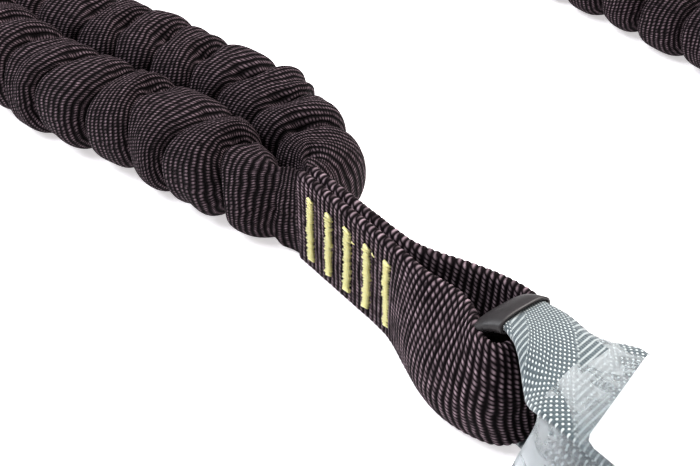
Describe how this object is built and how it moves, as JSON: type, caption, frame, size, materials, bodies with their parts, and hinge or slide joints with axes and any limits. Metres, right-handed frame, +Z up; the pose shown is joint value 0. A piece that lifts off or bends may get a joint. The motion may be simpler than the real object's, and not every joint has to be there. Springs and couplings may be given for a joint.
{
  "type": "shock absorbing lanyard",
  "caption": "Twin-tail fall-arrest lanyard: gathered elastic webbing legs with scaffold hooks, sewn to a folded tear-webbing absorber with a screw-gate karabiner.",
  "frame": {"origin": "centre of the absorber pack's flat underside, on the table", "axes": "+X along the absorber pack towards the harness karabiner, +Y to its left, +Z up"},
  "size_m": [0.7807, 0.4082, 0.0384],
  "materials": {
    "black_webbing": "ribbed woven polyester, matt",
    "yellow_thread": "satin bar tacks",
    "grey_strap": "woven with white dots, slight gloss",
    "black_sleeve": "smooth, satin",
    "clear_film": "clear flexible film, glossy",
    "white_card": "blank white label",
    "elastic": "braided elastic cord",
    "zinc_steel": "zinc plated, satin",
    "forged_aluminium": "forged and tumbled, satin",
    "spring_steel": "drawn wire"
  },
  "bodies": {
    "root": {"absorber_webbing": "grey_strap", "leg_loop_tack_1": "yellow_thread", "leg_loop_tack_2": "yellow_thread", "leg_loop_tack_3": "yellow_thread", "harness_loop_tack_1": "yellow_thread", "harness_loop_tack_2": "yellow_thread", "harness_loop_tack_3": "yellow_thread", "pack_cover": "clear_film", "label_card": "white_card", "loop_sleeve": "black_sleeve", "eye_webbing": "black_webbing", "eye_tack_1": "yellow_thread", "eye_tack_2": "yellow_thread", "eye_tack_3": "yellow_thread", "eye_tack_4": "yellow_thread", "eye_tack_5": "yellow_thread", "leg_a_webbing": "black_webbing", "leg_a_elastic": "elastic", "leg_a_end_loop": "black_webbing", "leg_a_end_tack_1": "yellow_thread", "leg_a_end_tack_2": "yellow_thread", "leg_a_end_tack_3": "yellow_thread", "leg_b_webbing": "black_webbing", "leg_b_elastic": "elastic", "leg_b_end_loop": "black_webbing", "leg_b_end_tack_1": "yellow_thread", "leg_b_end_tack_2": "yellow_thread", "leg_b_end_tack_3": "yellow_thread"},
    "karabiner": {"karabiner_body": "zinc_steel", "karabiner_gate_pin": "spring_steel", "karabiner_gate_spring": "spring_steel"},
    "karabiner_gate": {"karabiner_gate": "zinc_steel"},
    "karabiner_lock": {"karabiner_lock_sleeve": "zinc_steel"},
    "hook_a": {"hook_a_body": "forged_aluminium", "hook_a_gate_rivet": "zinc_steel", "hook_a_lever_rivet": "zinc_steel", "hook_a_gate_spring": "spring_steel", "hook_a_lever_spring": "spring_steel"},
    "hook_a_gate": {"hook_a_gate": "zinc_steel"},
    "hook_a_lever": {"hook_a_lever": "zinc_steel"},
    "hook_b": {"hook_b_body": "forged_aluminium", "hook_b_gate_rivet": "zinc_steel", "hook_b_lever_rivet": "zinc_steel", "hook_b_gate_spring": "spring_steel", "hook_b_lever_spring": "spring_steel"},
    "hook_b_gate": {"hook_b_gate": "zinc_steel"},
    "hook_b_lever": {"hook_b_lever": "zinc_steel"}
  },
  "joints": [
    {"name": "karabiner_swing", "type": "hinge", "parent": "root", "child": "karabiner", "pos_m": [0.11, 0, 0.009], "axis": [0, -1, 0], "range_deg": [0, 90]},
    {"name": "karabiner_gate_hinge", "type": "hinge", "parent": "karabiner", "child": "karabiner_gate", "pos_m": [0.136, -0.027, 0.009], "axis": [0, 0, 1], "range_deg": [0, 30], "stiffness_Nm_per_rad": 0.15, "springref_deg": -14.32},
    {"name": "karabiner_lock_slide", "type": "slide", "parent": "karabiner_gate", "child": "karabiner_lock", "axis": [1, 0, 0], "range_m": [0, 0.0052]},
    {"name": "hook_a_swing", "type": "hinge", "parent": "root", "child": "hook_a", "pos_m": [-0.338, 0.31, 0.0075], "axis": [0, -1, 0], "range_deg": [0, 90]},
    {"name": "hook_a_gate_hinge", "type": "hinge", "parent": "hook_a", "child": "hook_a_gate", "pos_m": [-0.25, 0.273, 0.0075], "axis": [0, 0, 1], "range_deg": [0, 38], "stiffness_Nm_per_rad": 0.3, "springref_deg": -11.46},
    {"name": "hook_a_lever_hinge", "type": "hinge", "parent": "hook_a", "child": "hook_a_lever", "pos_m": [-0.266, 0.326, 0.0075], "axis": [0, 0, 1], "range_deg": [0, 8], "stiffness_Nm_per_rad": 0.5, "springref_deg": -8.59},
    {"name": "hook_b_swing", "type": "hinge", "parent": "root", "child": "hook_b", "pos_m": [-0.108, 0.197, 0.0075], "axis": [0, -1, 0], "range_deg": [0, 90]},
    {"name": "hook_b_gate_hinge", "type": "hinge", "parent": "hook_b", "child": "hook_b_gate", "pos_m": [-0.02, 0.16, 0.0075], "axis": [0, 0, 1], "range_deg": [0, 38], "stiffness_Nm_per_rad": 0.3, "springref_deg": -11.46},
    {"name": "hook_b_lever_hinge", "type": "hinge", "parent": "hook_b", "child": "hook_b_lever", "pos_m": [-0.036, 0.213, 0.0075], "axis": [0, 0, 1], "range_deg": [0, 8], "stiffness_Nm_per_rad": 0.5, "springref_deg": -8.59}
  ]
}
